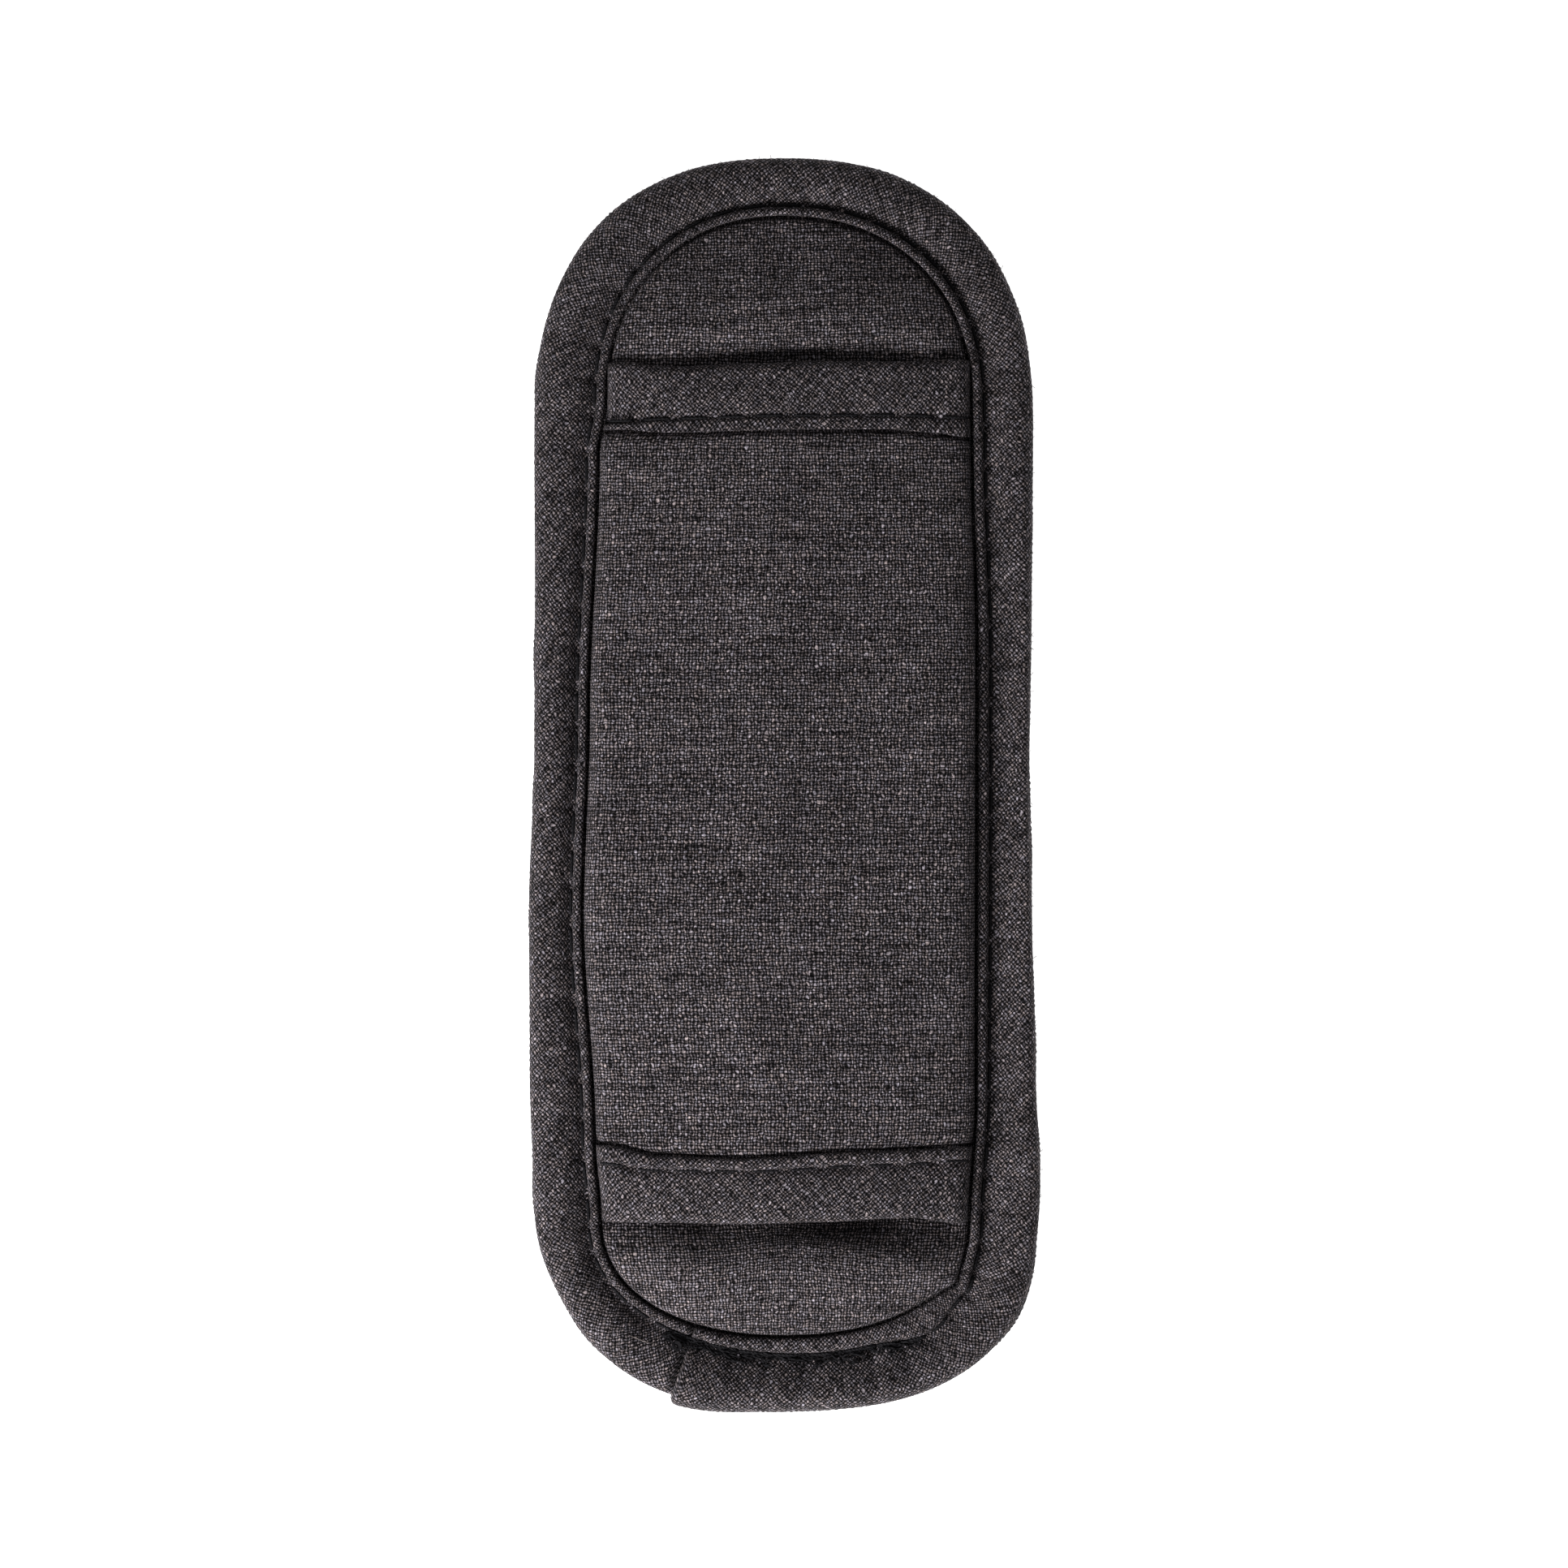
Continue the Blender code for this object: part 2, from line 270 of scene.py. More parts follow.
# On the right and along the lower end the roll's crest lies nearer the rim, with a wider groove inside it.
RIGHT_STRETCH = stretch((38, -10), 0, 75)
LOWER_STRETCH = stretch(LOWER_MIDDLE, 8, 36)
CREST_SHARE = 0.45 - 0.3 * RIGHT_STRETCH - 0.1 * LOWER_STRETCH
DESCENT_POWER = 2.3 - 1.2 * np.maximum(RIGHT_STRETCH, LOWER_STRETCH)
GROOVE_WIDE = 0.25 + 0.9 * RIGHT_STRETCH + 0.8 * LOWER_STRETCH


# ---- meshes

SHARP_ANGLE = math.radians(60)


def new_object(name, data):
    made = bpy.data.objects.new(name, data)
    bpy.context.scene.collection.objects.link(made)
    return made


def grid_mesh(name, points, grain, closed_rows=False, closed_columns=False, cap_rows=False):
    """A mesh on a grid of points in mm, rows by columns, with the cloth's own coordinates on its points."""
    rows, columns = points.shape[:2]
    index = np.arange(rows * columns).reshape(rows, columns)
    down = np.roll(index, -1, 0) if closed_rows else index[1:]
    here = index if closed_rows else index[:-1]
    if closed_columns:
        quads = np.stack([here, np.roll(here, -1, 1), np.roll(down, -1, 1), down], -1)
    else:
        quads = np.stack([here[:, :-1], here[:, 1:], down[:, 1:], down[:, :-1]], -1)
    faces = quads.reshape(-1, 4).tolist()
    if cap_rows:
        faces += [index[0][::-1].tolist(), index[-1].tolist()]
    mesh = bpy.data.meshes.new(name)
    mesh.from_pydata((points.reshape(-1, 3) * MM).tolist(), [], faces)
    add_grain(mesh, grain)
    mesh.shade_smooth()
    mesh.set_sharp_from_angle(angle=SHARP_ANGLE)
    return new_object(name, mesh)


def add_grain(mesh, grain):
    """Stores where each point lies in the cloth's own weave, in mm along the weft and the warp."""
    values = np.zeros((len(mesh.vertices), 3), np.float32)
    values[:, :2] = np.asarray(grain, float).reshape(-1, 2)
    attribute = mesh.attributes.new("grain", "FLOAT_VECTOR", "POINT")
    attribute.data.foreach_set("vector", values.ravel())


def on_bias(along, across):
    """Cloth coordinates on a tape cut at BIAS_ANGLE to its threads."""
    c, s = math.cos(BIAS_ANGLE), math.sin(BIAS_ANGLE)
    return np.stack([along * c + across * s, -along * s + across * c], -1)


def thicken(made, thickness, offset=-1.0):
    """Gives a sheet its thickness, on the side away from its faces unless offset is 1."""
    modifier = made.modifiers.new("cloth", "SOLIDIFY")
    modifier.thickness = thickness * MM
    modifier.offset = offset
    thick = evaluated_mesh(made)
    made.modifiers.clear()
    made.data = thick
    thick.shade_smooth()
    thick.set_sharp_from_angle(angle=SHARP_ANGLE)
    return made


# ---- the edge tape

# Turns round the lip and the outer roll, and shares of the way down from the roll's crest to the groove.
LIP_TURNS = np.radians((4, 18, 38, 62, 90, 118, 142, 162, 176))
ROLL_TURNS = np.radians((80, 70, 60, 50, 40, 31, 23, 16, 10, 5))
DESCENT_SHARES = (0.97, 0.93, 0.87, 0.8, 0.7, 0.58, 0.45, 0.3, 0.15, 0.0)
LIP_POWER = 0.75
LIP_WALL = 0.85
ROLL_POWER = 2.2

# How deep a needle hole pulls the tape in, and how far along the seam.
EDGE_DIMPLE = 0.45
DIMPLE_REACH = 0.85

# The roll and the rim waver along the edge, and single yarns stand out on the rim.
ROLL_WAVER = 0.14
RIM_WAVER = 0.1
YARN_TEETH = 0.025
FACE_ROW, RIM_ROW = 60.0, 25.0

# The lap: its place, the stations built twice, how it stands off the tape below, and the crease before it.
LAP_PLACE = (-17.0, -93.2)
LAP_OVER = 4
LAP_HEIGHT = 1.3
LAP_ROUNDING = 0.9
LAP_FADE = 12.0
CREASE_DEPTH = 1.9
CREASE_REACH = 0.75

LAP_RUN = station_near(*LAP_PLACE)
LAP_START = int(LAP_RUN / STEP)


def bead(centre, reach, lip_h, wall_h, floor_h, turns):
    """(place, H) points over a lip, from its wall's height to the groove's floor."""
    points = []
    for turn in turns:
        base = wall_h if turn < math.pi / 2 else floor_h
        points.append((centre + reach * math.cos(turn), base + (lip_h - base) * math.sin(turn) ** LIP_POWER))
    return points


def tape_side(d, groove_u, shape, dimple, puff):
    """(U, H) places on one side of the tape, from its tucked inner edge over lip, groove and roll to the rim.

    shape is the groove's width, the crest's place, the descent's power and how much higher the lip is."""
    groove_wide, crest_share, power, lip_extra = shape
    lip_u = d - LINE_HALF
    floor_h = GROOVE_H - dimple
    lip_h = LIP_H + lip_extra - 0.3 * dimple
    crest_u, crest_h = crest_share * groove_u, ROLL_H + puff
    path = [(lip_u - 0.8, 0.8 + 0 * d), (lip_u - 0.1, 0.85 + 0 * d), (lip_u, 1.2 + 0 * d)]
    bead_low, bead_high = groove_u + 0.28, lip_u
    centre, reach = (bead_low + bead_high) / 2, (bead_high - bead_low) / 2
    path += bead(centre, reach, lip_h, lip_h - LIP_WALL, floor_h, LIP_TURNS)
    path.append((groove_u + 0.12, floor_h))
    foot_u = groove_u - groove_wide
    path.append((foot_u, floor_h + 0.02))
    for t in DESCENT_SHARES:
        path.append((crest_u + (foot_u - crest_u) * t, floor_h + (crest_h - floor_h) * (1 - t**power)))
    for turn in ROLL_TURNS:
        across = 1 - math.cos(turn) ** (2 / ROLL_POWER)
        path.append((crest_u * across, crest_h * math.sin(turn) ** (2 / ROLL_POWER)))
    return path


def stitch_dimple(run, depth):
    """How deep the seam pulls the cloth in, from the distance to the nearest needle hole."""
    phase = (run / STITCH_PITCH) % 1.0
    to_hole = np.minimum(phase, 1 - phase) * STITCH_PITCH
    return depth * np.exp(-((to_hole / DIMPLE_REACH) ** 2))


def lap_lift(over):
    """How far the tape's first stretch stands off over its own end, from its folded end on."""
    rounded = np.clip(over / LAP_ROUNDING, 0, 1) ** 0.5
    return LAP_HEIGHT * (0.35 + 0.65 * rounded) * np.exp(-((over / LAP_FADE) ** 2))


def tape_points():
    """The closed section's points, from the folded end round to the hidden one, and their grain."""
    order = (LAP_START + np.arange(STATIONS + LAP_OVER)) % STATIONS
    over = np.arange(STATIONS + LAP_OVER) * STEP
    run, d, groove_u = RUN[order], TAPE_D[order], GROOVE_U[order]
    dimple = stitch_dimple(run, EDGE_DIMPLE)
    roll = Ripple(7, 30)
    yarns = Ripple(0.66, 0.84, 12)
    puff_back = ROLL_WAVER * roll(run, 0.0) - 0.2 * dimple + 0.45 * LOWER_STRETCH[order]
    puff_face = ROLL_WAVER * roll(run, FACE_ROW) - 0.2 * dimple
    shape = (GROOVE_WIDE[order], CREST_SHARE[order], DESCENT_POWER[order], 0.5 * RIGHT_STRETCH[order])
    upper = tape_side(d, groove_u, shape, dimple, puff_back)
    lower = tape_side(d, groove_u, shape, dimple, puff_face)
    rim = (RIM_WAVER * roll(run, RIM_ROW) + YARN_TEETH * yarns(run, 0.0), 0 * d)
    outer = upper + [rim] + [(u, -h) for u, h in reversed(lower)]
    inner = [
        (d - 0.9, -0.4 + 0 * d),
        (groove_u, -0.5 + 0 * d),
        (0.9 + 0 * d, 0 * d),
        (groove_u, 0.5 + 0 * d),
        (d - 0.9, 0.4 + 0 * d),
    ]
    section = outer + inner
    u = np.stack([p[0] for p in section], 1)
    h = np.stack([p[1] for p in section], 1)
    shell = np.zeros(u.shape)
    shell[:, : len(outer)] = 1.0
    near_rim = np.exp(-((h / 1.6) ** 2)) * shell * (u < 2)
    u = u + YARN_TEETH * near_rim * yarns(run[:, None], 3.0 * h)
    before_lap = PERIMETER - over
    crease = CREASE_DEPTH * np.exp(-((before_lap / CREASE_REACH) ** 2))
    lift = lap_lift(over)[:, None] * shell
    u = u - lift * np.clip(1.0 - u / 4.0, 0, 1)
    h = h + (lift * 0.7 - crease[:, None] * shell) * np.clip(h / ROLL_H, -1, 1)
    places = OUTLINE[order][:, None] + INWARD[order][:, None] * u[..., None]
    points = np.concatenate([places, MIDDLE_Z + h[..., None]], -1)
    step = np.hypot(np.diff(u, axis=1), np.diff(h, axis=1))
    across = np.concatenate([0 * over[:, None], np.cumsum(step, 1)], 1)
    rim_column = len(upper)
    across = across - across[:, rim_column : rim_column + 1]
    grain = on_bias(*np.broadcast_arrays(over[:, None], across))
    return points, grain


# ---- stitches

# A stitch lies level over STITCH_LEVEL of its length and bends down into the cloth over the rest.
STITCH_LEVEL, STITCH_BEND = 0.55, 0.45
EDGE_THREAD_LIFT, EDGE_THREAD_DIVE = 0.2, 0.75
SLEEVE_THREAD_LIFT, SLEEVE_THREAD_DIVE = 0.08, 0.5
THREAD_GRAIN = (0.35, 0.19)

# The ragged threads: steps along each, how many, how far before the lap they start, their band's length and
# how they thin out along it. The knot lies at their start.
RAG_STEPS = np.linspace(-1, 1, 7)
RAG_COUNT = 340
RAG_BEFORE = 4.5
RAG_LENGTH = 46.0
RAG_THINNING = 1.2
KNOT_PLACE = (-16.2, -85.0)
KNOT_LOOPS = 9

# Fine fibres all round the rim, and two on the lip, from one (x, y) to another.
FIBRE_COUNT = 420
PALE_FIBRES = (((-25.0, -83.4), (-20.2, -84.4)), ((-4.3, -85.3), (-3.3, -84.4)))


def tube_rings(path, radii, sides=8):
    """Rings of points round a path in mm."""
    path = np.asarray(path, float)
    along = unit(np.gradient(path, axis=0))
    side = unit(np.cross(along, [0.0, 0.0, 1.0]))
    over = np.cross(side, along)
    turn = np.linspace(0, 2 * math.pi, sides, endpoint=False)[None, :, None]
    around = np.cos(turn) * side[:, None] + np.sin(turn) * over[:, None]
    return path[:, None] + radii[:, None, None] * around


def join_tubes(name, tubes):
    """One mesh of several closed tubes."""
    verts, faces, grain = [], [], []
    for rings in tubes:
        rows, sides = rings.shape[:2]
        index = len(verts) + np.arange(rows * sides).reshape(rows, sides)
        around = np.roll(index, -1, 1)
        verts += (rings.reshape(-1, 3) * MM).tolist()
        faces += np.stack([index[:-1], around[:-1], around[1:], index[1:]], -1).reshape(-1, 4).tolist()
        faces += [index[0][::-1].tolist(), index[-1].tolist()]
        grain += [(r * THREAD_GRAIN[0], k * THREAD_GRAIN[1]) for r in range(rows) for k in range(sides)]
    mesh = bpy.data.meshes.new(name)
    mesh.from_pydata(verts, [], faces)
    mesh.validate()
    add_grain(mesh, grain)
    mesh.shade_smooth()
    return new_object(name, mesh)


def stitch_path(place, length, lift, dive):
    """Points of one long stitch: place(t) gives the seam's point at t mm from the stitch's middle."""
    t = np.linspace(-0.5, 0.5, 15)
    arch = np.cos(np.clip(np.abs(t) * 2 - STITCH_LEVEL, 0, 1) / STITCH_BEND * math.pi / 2)
    arch = np.where(np.abs(t) * 2 < STITCH_LEVEL, 1.0, arch)
    path = np.array([place(x * length) for x in t])
    path[:, 2] += lift * arch - dive * (1 - arch)
    radii = THREAD_RADIUS * (0.72 + 0.28 * np.sqrt(np.clip(arch, 0, 1)))
    return path, radii


def edge_stitches(name, side):
    """The long stitches in the groove, on the back if side is 1 and on the face if -1."""
    tubes = []
    count = int(PERIMETER / STITCH_PITCH)
    for i in range(count):
        middle = (i + 0.5) * STITCH_PITCH

        def place(t, middle=middle):
            at = ((middle + t) / STEP) % STATIONS
            i0 = int(at) % STATIONS
            i1 = (i0 + 1) % STATIONS
            f = at - int(at)
            u = GROOVE_U[i0] * (1 - f) + GROOVE_U[i1] * f + 0.03
            x, y = (OUTLINE[i0] + INWARD[i0] * u) * (1 - f) + (OUTLINE[i1] + INWARD[i1] * u) * f
            return x, y, MIDDLE_Z + GROOVE_H + 0.05

        path, radii = stitch_path(place, STITCH_FLOAT, EDGE_THREAD_LIFT, EDGE_THREAD_DIVE)
        if side < 0:
            path[:, 2] = 2 * MIDDLE_Z - path[:, 2]
        tubes.append(tube_rings(path, radii))
    if side > 0:
        tubes += ragged_threads()
    return join_tubes(name, tubes)


def groove_place(run, aside, lift):
    """A place by the edge tape's groove: along its run, aside from it (outwards) and above the cloth."""
    at = int(run / STEP) % STATIONS
    u = GROOVE_U[at] - aside
    x, y = OUTLINE[at] + INWARD[at] * u
    return np.array([x, y, MIDDLE_Z + GROOVE_H + 0.1 + 0.5 * max(aside - 0.25, 0.0) + lift])


def smooth_path(path):
    path = np.array(path)
    path[1:-1] = (path[:-2] + path[1:-1] + path[2:]) / 3
    return path


def ragged_threads():
    """Where the seam starts and ends over itself: doubled stitches, frayed ends and a small knot."""
    tubes = []
    for i in range(RAG_COUNT):
        middle = LAP_RUN - RAG_BEFORE + RAG_LENGTH * RNG.uniform() ** RAG_THINNING
        reach = RNG.uniform(0.4, 1.5)
        aside = abs(RNG.normal(0.0, 0.75)) - 0.15
        tilt = RNG.normal(0.0, 0.3)
        lift = RNG.uniform(0.0, 0.3)
        radius = RNG.uniform(0.07, 0.19)
        places = [(middle + t * reach, aside + tilt * t, lift - 0.5 * abs(t) ** 3) for t in RAG_STEPS]
        path = smooth_path([groove_place(*place) for place in places])
        tubes.append(tube_rings(path, np.full(len(path), radius), 5))
    knot = np.array([*KNOT_PLACE, MIDDLE_Z + LIP_H])
    for i in range(KNOT_LOOPS):
        turn = np.linspace(0, 2.2 * math.pi, 9) + RNG.uniform(0, 6)
        wide = RNG.uniform(0.3, 0.8)
        loop = np.stack([wide * np.cos(turn), wide * np.sin(turn), 0.25 + 0.25 * np.sin(turn * 2)], 1)
        tubes.append(tube_rings(knot + loop, np.full(len(loop), 0.15), 5))
    return tubes


def rim_fibre():
    """One fine fibre that stands off the tape's rim somewhere."""
    at = RNG.integers(STATIONS)
    root = np.array([*(OUTLINE[at] + INWARD[at] * 0.45), MIDDLE_Z + RNG.uniform(-1.2, 1.8)])
    lean = RNG.uniform(-1.0, 1.0)
    outwards = -INWARD[at] * math.cos(lean) + TANGENT[at] * math.sin(lean)
    away = np.array([*outwards, RNG.uniform(-0.3, 0.5)])
    curl = np.array([*TANGENT[at], 0.0]) * RNG.uniform(-0.5, 0.5)
    length = RNG.uniform(0.35, 1.0)
    path = np.array([root + away * length * t + curl * t * t for t in np.linspace(0, 1, 5)])
    return tube_rings(path, np.full(5, RNG.uniform(0.018, 0.035)), 4)


def loose_fibres():
    """Fine fibres that stand off the tape's rim, and pale ones that lie on its lip near the lap."""
    tubes = [rim_fibre() for i in range(FIBRE_COUNT)]
    for start, end in PALE_FIBRES:
        share = np.linspace(0, 1, 9)[:, None]
        path = np.array(start) * (1 - share) + np.array(end) * share
        height = MIDDLE_Z + LIP_H + 0.35 - 0.3 * np.abs(share * 2 - 1) ** 2
        path = np.concatenate([path, height], 1)
        path[:, 1] += 0.25 * np.sin(share[:, 0] * 5)
        tubes.append(tube_rings(path, np.full(9, 0.055), 5))
    return join_tubes("loose_fibres", tubes)


# ---- cloth simulation

# The copy's voxels, the pressure in it, the frames that it is puffed up for, and the most that it may rise.
CLOTH_VOXEL = 2.0
CLOTH_PRESSURE = 4.0
CLOTH_FRAMES = 20
CLOTH_CAP = 0.9

# The grid that the rise is kept on.
SWELL_STEP = 1.5
SWELL_X = np.arange(-42, 42.1, SWELL_STEP)
SWELL_Y = np.arange(-97.5, 97.6, SWELL_STEP)


class Swelling:
    """How far a padded body's cloth swells, from a cloth simulation of a plain copy of the body.

    The copy is remeshed, held where held(x, y) says that it is sewn, and puffed up. A call gives its upper
    side's rise at a place."""

    def __init__(self, body, held):
        self.rise = np.zeros((len(SWELL_X), len(SWELL_Y)))
        self.simulate(body, held)
        bpy.data.objects.remove(body)

    def simulate(self, body, held):
        remesh = body.modifiers.new("remesh", "REMESH")
        remesh.mode = "VOXEL"
        remesh.voxel_size = CLOTH_VOXEL * MM
        body.data = evaluated_mesh(body)
        body.modifiers.clear()
        before = points_of(body.data)
        sewn = body.vertex_groups.new(name="sewn")
        sewn.add(np.flatnonzero(held(before[:, 0], before[:, 1])).tolist(), 1.0, "REPLACE")
        cloth = body.modifiers.new("cloth", "CLOTH")
        cloth.settings.vertex_group_mass = "sewn"
        cloth.settings.use_pressure = True
        cloth.settings.uniform_pressure_force = CLOTH_PRESSURE
        cloth.settings.effector_weights.gravity = 0.0
        cloth.collision_settings.use_collision = False
        cloth.point_cache.frame_start, cloth.point_cache.frame_end = 1, CLOTH_FRAMES
        for number in range(1, CLOTH_FRAMES + 1):
            bpy.context.scene.frame_set(number)
        after = points_of(evaluated_mesh(body))
        bpy.context.scene.frame_set(1)
        normals = np.empty(3 * len(before))
        body.data.vertices.foreach_get("normal", normals)
        upper = normals.reshape(-1, 3)[:, 2] > 0.3
        rise = np.clip(after[upper, 2] - before[upper, 2], -CLOTH_CAP, CLOTH_CAP)
        across = np.exp(-(((SWELL_X[:, None] - before[None, upper, 0]) / CLOTH_VOXEL) ** 2))
        along = np.exp(-(((SWELL_Y[:, None] - before[None, upper, 1]) / CLOTH_VOXEL) ** 2))
        self.rise = (across * rise) @ along.T / (across @ along.T + 1e-6)

    def __call__(self, x, y):
        x, y = np.broadcast_arrays(np.asarray(x, float), np.asarray(y, float))
        i = np.clip((x - SWELL_X[0]) / SWELL_STEP, 0, len(SWELL_X) - 1.001)
        j = np.clip((y - SWELL_Y[0]) / SWELL_STEP, 0, len(SWELL_Y) - 1.001)
        i0, j0 = i.astype(int), j.astype(int)
        p, q = i - i0, j - j0
        low = self.rise[i0, j0] * (1 - p) + self.rise[i0 + 1, j0] * p
        high = self.rise[i0, j0 + 1] * (1 - p) + self.rise[i0 + 1, j0 + 1] * p
        return low * (1 - q) + high * q


def evaluated_mesh(made):
    """A new mesh with the object's modifiers worked in."""
    return bpy.data.meshes.new_from_object(made.evaluated_get(bpy.context.evaluated_depsgraph_get()))


def points_of(mesh):
    """A mesh's points in mm."""
    flat = np.empty(3 * len(mesh.vertices))
    mesh.vertices.foreach_get("co", flat)
    return flat.reshape(-1, 3) / MM


# ---- covers

COVER_THICKNESS = 0.45
FOAM_GAP = 0.6
SPINE_LOW, SPINE_HIGH = -64.0, 57.0
COVER_RINGS = 36
COVER_LINE = resampled(INNER, 420)[0]

# How far inside the inner line the first rings lie, close together where the cloth turns down.
RING_DEPTHS = np.array([-2.2, -0.9, -0.2, 0.12, 0.28, 0.45, 0.7, 1.0, 1.5, 2.1, 2.9, 3.9])

# The back cover's height under the sleeve, and how far in from its edge it rises to its crown.
BACK_LEVEL = 5.6
CROWN_REACH = 12.0
BACK_RIPPLE = Ripple(9, 26)


def inner_bounds(y):
    """The inner line's left and right X at a height along the pad."""
    out = []
    for side, sign in ((INNER_LEFT, -1), (INNER_RIGHT, 1)):
        share = 1.0
        for start, end, power in (INNER_UPPER_END, INNER_LOWER_END):
            past = np.clip((y - start) / (end - start), 0, 1)
            share = share * (1 - past**power) ** (1 / power)
        out.append(sign * eased(side, y) * share)
    return out


def cover_plan():
    """Places over the plan inside the inner line: rings from a little under the tape in to the pad's spine.

    Returns X, Y and how far inside the line each place is, as rings by stations."""
    spine_y = np.clip(COVER_LINE[:, 1], SPINE_LOW, SPINE_HIGH)
    spine = np.stack([np.zeros_like(spine_y), spine_y], 1)
    spoke = spine - COVER_LINE
    length = np.linalg.norm(spoke, axis=1)
    ends = np.linspace(0, 1, COVER_RINGS - len(RING_DEPTHS) + 1)[1:]
    depth = [np.full(len(length), d) for d in RING_DEPTHS]
    depth += [RING_DEPTHS[-1] + (length - RING_DEPTHS[-1]) * share for share in ends]
    depth = np.stack(depth)
    places = COVER_LINE[None] + spoke[None] * (depth / length)[..., None]
    return places[..., 0], places[..., 1], depth


def cloth_sheet(name, height):
    """A sheet over the plan, with its edge hidden under the tape."""
    x, y, inside = cover_plan()
    points = np.stack([x, y, height(x, y, inside)], -1)
    step = np.linalg.norm(np.diff(points, axis=0), axis=2)
    run_out = np.concatenate([np.cumsum(step[::-1], 0)[::-1], 0 * step[:1]])
    spine = points[-1:, :, :2]
    outwards = points[:1, :, :2] - spine
    outwards = outwards / np.linalg.norm(outwards, axis=2, keepdims=True)
    return joined(grid_mesh(name, points, spine + outwards * run_out[..., None], closed_columns=True))


def back_height(x, y, inside):
    """The back cover: a pillow in each D that dips into the sleeve's mouth, and level under the sleeve."""
    edge = MIDDLE_Z + 0.2
    crown = BACK_LEVEL + 1.4 * smoothstep((y - 55) / 8) + 2.1 * smoothstep((y - 62.2) / 7.0)
    to_lower_end = np.clip((-64.0 - y) / 17.0, 0, 1)
    crown = crown + 4.2 * smoothstep((-64.2 - y) / 8.6) + 1.0 * (1 - (1 - to_lower_end) ** 2)
    crown = crown - 2.0 * smoothstep((y - 69) / 16)
    crown = crown - 1.1 * bump(x, -5, 8) * bump(y, 64.2, 2.4) + 0.3 * bump(x, -22, 5) * bump(y, 66, 4)
    lower_mouth = smoothstep((y + 70.0) / 4.0) * smoothstep((-60 - y) / 4)
    crown = crown - lower_mouth * (2.3 * bump(x, 10, 8) + 0.4 * bump(x, -14, 7))
    rise = np.clip(inside / CROWN_REACH, 0, 1)
    roll = 1 - np.exp(-np.clip(inside - 0.12, 0, None) / 0.14)
    puff = 0.38 * roll + 0.62 * np.sin(rise * math.pi / 2) ** 0.8
    loose = np.clip(inside / 4, 0, 1)
    return edge + (crown - edge) * puff + (0.16 * BACK_RIPPLE(x, y) + PAD_SWELLING(x, y)) * loose


def face_height(x, y, inside):
    """The face cover underneath: level in the middle, so that the pad lies on it, and rising to the tape."""
    high = MIDDLE_Z - 0.85
    rise = np.clip((inside + 0.6) / CROWN_REACH, 0, 1)
    return high * (1 - np.sin(rise * math.pi / 2) ** 0.8) + 0.05


def body_between(name, top_height, gap):
    """One closed body between the two covers, with its own gap to each."""
    x, y, inside = cover_plan()
    x, y, inside = x[3:], y[3:], inside[3:]
    top = np.stack([x, y, top_height(x, y, inside) - gap], -1)
    under = np.stack([x, y, face_height(x, y, inside) + gap], -1)
    points = np.concatenate([under[::-1], top])
    return joined(grid_mesh(name, points, points[..., :2], closed_columns=True))


def joined(made):
    """Merges the points that lie in one place."""
    build = bmesh.new()
    build.from_mesh(made.data)
    bmesh.ops.remove_doubles(build, verts=build.verts, dist=0.01 * MM)
    build.to_mesh(made.data)
    build.free()
    return made


def no_swelling(x, y):
    return 0.0


def sewn_edge(x, y):
    """Where the pad is held: along its seam and under the sleeve."""
    line = COVER_LINE[::3]
    gap = np.hypot(np.asarray(x)[:, None] - line[:, 0], np.asarray(y)[:, None] - line[:, 1]).min(1)
    return (gap < 2.0) | ((y > -62) & (y < 58))


# The plain copy is made before there is any swelling.
PAD_SWELLING = no_swelling
PAD_SWELLING = Swelling(body_between("pad_to_swell", back_height, 0.0), sewn_edge)


# ---- the sleeve

# The ridge's height at RIDGE_Y, its sag to each end, and how far the roof falls from it to a seam.
ARCH_COLUMNS = 41
SLEEVE_CROWN_Z = 12.7
RIDGE_Y, RIDGE_HALF = -1, 65
UPPER_SAG = 2.4
LOWER_SAG = 1.4
SLEEVE_ROOF = 2.6
ROOF_SOFTNESS = 0.32
WALL_POWER, WALL_ROUNDING = 26, 2.6
SLEEVE_ROOT_Z = 5.2
SLEEVE_HALF = 28.9
SLEEVE_RIPPLE = Ripple(12, 40, stretch=(1.4, 1.0))

# Where the sleeve's sheets have rows inside each tape's lip, and how far they dip there, from 1 to 0.
ROW_PLACES = np.array([-2.5, -1.2, -0.4, 0.0, 0.2, 0.3, 0.38, 0.5, 0.7, 1.0, 1.4, 2.2, 3.2])
ROW_DIPS = np.array([1, 1, 1, 1, 1, 0.93, 0.72, 0.45, 0.27, 0.14, 0.06, 0.02, 0])
ROWS_BETWEEN = 103

# The sleeve tapes' section: turns round the lip and the free edge, shares of the way across the band, and its
# height. The upper tape's groove has a pocket by the left seam.
BEAD_TURNS = np.radians((4, 20, 42, 66, 90, 115, 140, 160, 176))
FOLD_TURNS = np.radians(np.linspace(18, 162, 9))
BAND_SHARES = (0.03, 0.07, 0.12, 0.18, 0.26, 0.36, 0.48, 0.62, 0.8, 1.0)
BAND_H = 0.65
SLEEVE_DIMPLE = 0.3
POCKET_DEPTH, POCKET_X, POCKET_WIDE = 0.8, -27.5, 3.2

